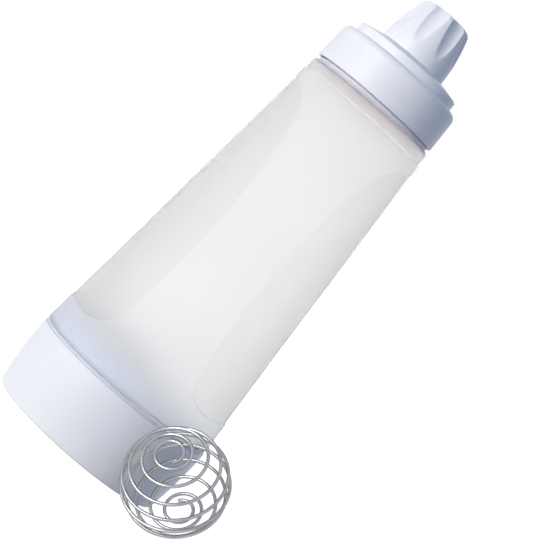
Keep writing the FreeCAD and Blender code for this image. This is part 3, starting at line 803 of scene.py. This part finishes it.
def make_nozzle():
    """Soft red nozzle: a flange, a low funnel and a tapered spout with an open bore."""
    spout_foot_z = seat_z - 2.3
    funnel_inset = 2.3
    spout_radius = 12.0
    spout_bore = 9.0
    tip_radius = 9.5
    tip_bore = 6.8
    corners = [
        (nozzle_high.x, neck_z, 0.3),
        (nozzle_high.x, flange_z, 0.3),
        (collar_step_radius - funnel_inset, flange_z, 0.6),
        (spout_radius, spout_foot_z, 1.2),
        (spout_radius, stub_z, 0.3),
        (tip_radius, tip_z, 1.1),
        (tip_bore, tip_z, 0.6),
        (spout_bore, stub_z, 0.4),
        (spout_bore, spout_foot_z - 1.0, 1.0),
        (neck_bore - funnel_inset, neck_z, 0.4),
    ]
    piece = new_piece("spout", turned_mesh(corners), red_silicone)
    stands_for(piece, "nozzle", "nozzle")


def make_collar():
    """Screw collar: a skirt with a rounded shoulder, a raised step, a domed top, a snap ring and the stub."""
    roof = collar_roof
    draft = 1.0
    shoulder_round = 3.6
    dome_bulge = 0.35
    bore = collar_step_radius - roof
    step_top = (collar_step_radius, collar_step_z)
    seat_edge = (seat_radius, seat_z)
    corners = [
        (collar_radius, collar_foot_z, 0.5),
        (collar_radius - draft, collar_shoulder_z, shoulder_round),
        (collar_step_radius, collar_shoulder_z, 0.4),
        (*step_top, 0.9),
        *bowed(step_top, seat_edge, dome_bulge, 4),
        (*seat_edge, 0.5),
        (ring_radius, seat_z, 0.2),
        (ring_radius, ring_z, 0.45),
        (ring_bore, ring_z, 0.45),
        (ring_bore, seat_z, 0.3),
        (stub_radius, seat_z, 0.3),
        (stub_radius, stub_z, 0.5),
        (stub_bore, stub_z, 0.5),
        (stub_bore, seat_z - roof, 0.3),
        (seat_radius, seat_z - roof, 0.5),
        (bore, collar_step_z - roof, 0.5),
        (bore, flange_z, 0.3),
        (collar_bore, flange_z, 0.5),
        (collar_bore, collar_foot_z, 0.5),
    ]
    piece = new_piece("screw_collar", turned_mesh(corners), white_plastic)
    stands_for(piece, "collar", "collar")


def scoop_radius(height, angle):
    """Distance from the axis to a flute's scoop at an angle from its middle, or None beside the flute."""
    lean = (flute_head[0] - flute_foot[0]) / (flute_head[1] - flute_foot[1])
    slant = 1.0 / (1.0 + lean * lean)
    floor = flute_foot[0] + lean * (height - flute_foot[1])
    middle = floor + flute_radius / math.sqrt(slant)
    around = math.radians(angle)
    a = math.sin(around) ** 2 + math.cos(around) ** 2 * slant
    b = -2.0 * middle * math.cos(around) * slant
    c = middle * middle * slant - flute_radius ** 2
    room = b * b - 4.0 * a * c
    if room < 0.0:
        return None
    return (-b - math.sqrt(room)) / (2.0 * a)


def fluted_radius(radius, height, angle):
    """Radius of the cap's outside, with the edge between side and scoop softened."""
    scoop = scoop_radius(height, angle)
    if scoop is None:
        return radius
    nearness = max(flute_soft - abs(radius - scoop), 0.0) / flute_soft
    return min(radius, scoop) - nearness * nearness * flute_soft / 4.0


def flute_half_angle(radius, height):
    """Angle from a flute's middle to its edge at that height, in degrees; nothing where no flute is."""
    inside, outside = 0.0, 180.0 / flute_count
    halvings = 30
    if scoop_radius(height, 0.0) >= radius:
        return 0.0
    for _ in range(halvings):
        angle = (inside + outside) / 2.0
        scoop = scoop_radius(height, angle)
        if scoop is not None and scoop < radius:
            inside = angle
        else:
            outside = angle
    return inside


def finer(points, step):
    """The same line of points with none further apart than that step."""
    found = [points[0]]
    for before, after in zip(points, points[1:]):
        parts = max(1, math.ceil((after - before).length / step))
        found += [before.lerp(after, part / parts) for part in range(1, parts + 1)]
    return found


def make_nozzle_cap(tree):
    """Snap-on cap: one sector with one flute, copied round the axis by the tree."""
    plug_radius = 6.5
    plug_bore = 5.1
    plug_z = tip_z - 4.0
    mouth_z = seat_z + 7.2
    mouth_step = 0.4
    roof_radius = 10.2
    side_bulge = 1.07
    crown_round = 3.4
    row_height = 0.7
    mouth = (cap_radius, seat_z)
    crown = (cap_top_radius, top_z)
    lip_middle = (cap_radius - 1.0, seat_z, 0.0)
    outside = rounded_outline([
        lip_middle,
        (*mouth, 0.35),
        *bowed(mouth, crown, side_bulge, 9),
        (*crown, crown_round),
        (0.0, top_z, 0.0),
    ])
    inside = rounded_outline([
        (0.0, roof_z, 0.0),
        (plug_bore, roof_z, 0.3),
        (plug_bore, plug_z, 0.4),
        (plug_radius, plug_z, 0.4),
        (plug_radius, roof_z, 0.4),
        (roof_radius, roof_z, 0.6),
        (cap_bore - mouth_step, mouth_z, 0.15),
        (cap_bore, mouth_z, 0.15),
        (cap_bore, seat_z, 0.3),
        lip_middle,
    ])
    half = 180.0 / flute_count
    inner_columns = 7
    outer_columns = 5
    even_angle = half * inner_columns / (inner_columns + outer_columns)
    least_angle = 1.5
    run_in = 6.0
    side = finer(outside, row_height)
    starts = [point.y for point in side if flute_half_angle(point.x, point.y) > 0.0]
    tip = min(starts)

    def row_at(radius, height, fluted):
        split = even_angle
        if fluted:
            edge = math.hypot(flute_half_angle(radius, height), least_angle)
            spread = min(max((tip - height) / run_in, 0.0), 1.0)
            split = edge + (even_angle - edge) * spread
        angles = [split * k / inner_columns for k in range(inner_columns)]
        angles += [split + (half - split) * k / outer_columns for k in range(outer_columns + 1)]
        angles = [-angle for angle in angles[:0:-1]] + angles
        row = []
        for angle in angles:
            reach = fluted_radius(radius, height, angle) if fluted else radius
            row.append(on_axis_turn(reach, height, angle + flute_turn - 90.0))
        return row

    flat_start = max(index for index, point in enumerate(side) if point.y < top_z - 1e-6) + 1
    rows = [row_at(point.x, point.y, index <= flat_start) for index, point in enumerate(side)]
    rows += [row_at(point.x, point.y, False) for point in inside]
    mesh = bmesh.new()
    add_rows(mesh, rows, closed=False)
    weld(mesh, closed=False)
    data = grown(tree, {"Copies": flute_count, "Weld": WELD, "Material": white_plastic}, to_mesh(mesh))
    piece = new_piece("fluted_cap", outwards(data), white_plastic, sharp=24.0)
    stands_for(piece, "nozzle_cap", "nozzle_cap")


def outwards(data):
    """The same mesh welded, with its faces turned outwards."""
    mesh = bmesh.new()
    mesh.from_mesh(data)
    weld(mesh)
    mesh.to_mesh(data)
    mesh.free()
    return data


def make_threads(tree):
    """Threads of the skirt, the base, the neck and the collar, each beside the wall that carries it."""
    outside, inside = 1, -1
    jobs = [
        ("skirt_thread", "bottle", frosted_plastic, "frosted_plastic", skirt_radius, outside, base_lead,
         base_thread_turns, skirt_z + 3.0),
        ("base_thread", "base_cap", white_plastic, "white_plastic", base_bore, inside, base_lead,
         base_thread_turns, skirt_z + 6.0),
        ("neck_thread", "bottle", frosted_plastic, "frosted_plastic", neck_radius, outside, neck_lead,
         neck_thread_turns, neck_foot_z + 3.2),
        ("collar_thread", "collar", white_plastic, "white_plastic", collar_bore, inside, neck_lead,
         neck_thread_turns, neck_foot_z + 5.7),
    ]
    for name, body, finish, slot, wall_radius, way, lead, turns, low in jobs:
        data = grown(tree, {
            "Wall radius": (wall_radius - way * thread_root) * MM,
            "Depth": way * (thread_depth + thread_root) * MM,
            "Lead": lead * MM,
            "Turns": turns,
            "Low": low * MM,
            "Starts": thread_starts,
            "Points": 150,
            "Material": finish,
        })
        goes_with(new_piece(name, outwards(data), finish), body)


def make_whisk_ball(tree):
    """Loose whisk ball: one steel wire wound round a sphere from pole to pole."""
    data = grown(tree, {
        "Turns": ball_turns,
        "Pole angle": pole_angle,
        "Pole pitch": pole_pitch,
        "Ease": pitch_ease,
        "Line radius": (ball_radius - wire_radius) * MM,
        "Wire radius": wire_radius * MM,
        "Points": 900,
        "Sides": 16,
        "Material": steel_wire,
    })
    left = math.radians(pole_left)
    up = math.radians(pole_up)
    pole = Vector((-math.sin(left) * math.cos(up), -math.cos(left) * math.cos(up), math.sin(up)))
    facing = Vector((0.0, 0.0, 1.0)).rotation_difference(pole).to_matrix().to_4x4()
    turn = Matrix.Rotation(math.radians(end_turn), 4, "Z")
    middle = (ball_low + ball_high) / 2.0 * MM
    data.transform(Matrix.Translation(middle) @ facing @ turn)
    piece = new_piece("whisk_wire", data, steel_wire)
    stands_for(piece, "whisk_ball", "whisk_ball")


# Setting


def soft_lamp(name, place, target, width, height, power, colour, mirrored=True):
    """A large lamp that looks at the target; one that isn't mirrored only lights matt surfaces."""
    lamp = bpy.data.lights.new(name, "AREA")
    lamp.shape = "RECTANGLE"
    lamp.size = width
    lamp.size_y = height
    lamp.energy = power
    lamp.color = colour
    holder = bpy.data.objects.new(name, lamp)
    holder.location = place
    holder.rotation_euler = (Vector(target) - Vector(place)).to_track_quat("-Z", "Y").to_euler()
    holder.visible_glossy = mirrored
    holder.visible_transmission = mirrored
    bpy.context.scene.collection.objects.link(holder)


def shown_rays(tree):
    """1 for camera, glossy and transmission rays, 0 for the light that falls on things."""
    path = step_node(tree, "ShaderNodeLightPath")
    seen = calc(tree, "MAXIMUM", path["Is Camera Ray"], path["Is Glossy Ray"])
    return calc(tree, "MAXIMUM", seen, path["Is Transmission Ray"])


def make_world(colour, strength):
    """White as far as the eye and reflections go, and a soft cool fill for everything else."""
    world = bpy.data.worlds.new("studio")
    world.use_nodes = True
    tree = world.node_tree
    tree.nodes.clear()
    fill = step_node(tree, "ShaderNodeBackground", {"Color": (*colour, 1.0), "Strength": strength})
    white = step_node(tree, "ShaderNodeBackground", {"Color": (1.0, 1.0, 1.0, 1.0), "Strength": 1.0})
    either = step_node(tree, "ShaderNodeMixShader", {0: shown_rays(tree), 1: fill[0], 2: white[0]})
    step_node(tree, "ShaderNodeOutputWorld", {"Surface": either[0]})
    bpy.context.scene.world = world


def make_floor():
    """Plain pale floor that keeps a faint shadow, and fades to the white surroundings farther out."""
    half = 6.0
    corners = [(-half, -half, 0.0), (half, -half, 0.0), (half, half, 0.0), (-half, half, 0.0)]
    data = bpy.data.meshes.new("floor")
    data.from_pydata(corners, [], [(0, 1, 2, 3)])
    floor = bpy.data.objects.new("floor", data)
    bpy.context.scene.collection.objects.link(floor)
    finish = bpy.data.materials.new("pale_floor")
    finish.use_nodes = True
    tree = finish.node_tree
    tree.nodes.clear()
    matt = step_node(tree, "ShaderNodeBsdfDiffuse", {"Color": (0.70, 0.68, 0.64, 1.0)})
    spot = step_node(tree, "ShaderNodeTexCoord")["Object"]
    away = step_node(tree, "ShaderNodeVectorMath", {0: spot}, operation="LENGTH")["Value"]
    farther = step_node(tree, "ShaderNodeMapRange", {
        "Value": away, "From Min": 0.25, "From Max": 1.2, "To Min": 0.82, "To Max": 1.0,
    }, interpolation_type="SMOOTHSTEP")
    shine = calc(tree, "MULTIPLY", shown_rays(tree), farther[0])
    glow = step_node(tree, "ShaderNodeEmission", {"Color": (1.0, 1.0, 1.0, 1.0), "Strength": shine})
    both = step_node(tree, "ShaderNodeAddShader", {0: matt[0], 1: glow[0]})
    step_node(tree, "ShaderNodeOutputMaterial", {"Surface": both[0]})
    data.materials.append(finish)


def make_camera():
    """The photograph's view: level with the bottle, close by, and rolled so that the bottle leans right."""
    eye = Vector((0.0, -1.010, 0.151))
    target = Vector((0.0173, 0.0, 0.1245))
    lean = 41.3
    focal_length = 138.8
    ahead = (target - eye).normalized()
    level = ahead.cross(Vector((0.0, 0.0, 1.0))).normalized()
    upright = level.cross(ahead)
    roll = math.radians(lean)
    right = level * math.cos(roll) + upright * math.sin(roll)
    above = upright * math.cos(roll) - level * math.sin(roll)
    lens = bpy.data.cameras.new("photo_view")
    lens.lens = focal_length
    lens.sensor_width = 36.0
    lens.clip_start = 0.05
    camera = bpy.data.objects.new("photo_view", lens)
    camera.matrix_world = Matrix((right, above, -ahead)).transposed().to_4x4()
    camera.location = eye
    bpy.context.scene.collection.objects.link(camera)
    bpy.context.scene.camera = camera


make_camera()
make_world(colour=(0.50, 0.66, 1.0), strength=0.36)
make_floor()
soft_lamp("window", place=(-1.64, -1.76, 0.32), target=(0.0, 0.0, 0.10),
          width=1.5, height=0.9, power=49.5, colour=(1.0, 0.97, 0.92))
soft_lamp("back_wall", place=(0.15, 2.1, 1.25), target=(0.0, 0.0, 0.12),
          width=2.0, height=1.2, power=20.0, colour=(1.0, 0.985, 0.95), mirrored=False)
bpy.context.scene.view_settings.view_transform = "Standard"

make_base_cap()
make_base_gasket()
make_bottle()
make_nozzle()
make_collar()
make_nozzle_cap(around_axis_tree())
make_threads(thread_tree())
make_whisk_ball(wire_tree())
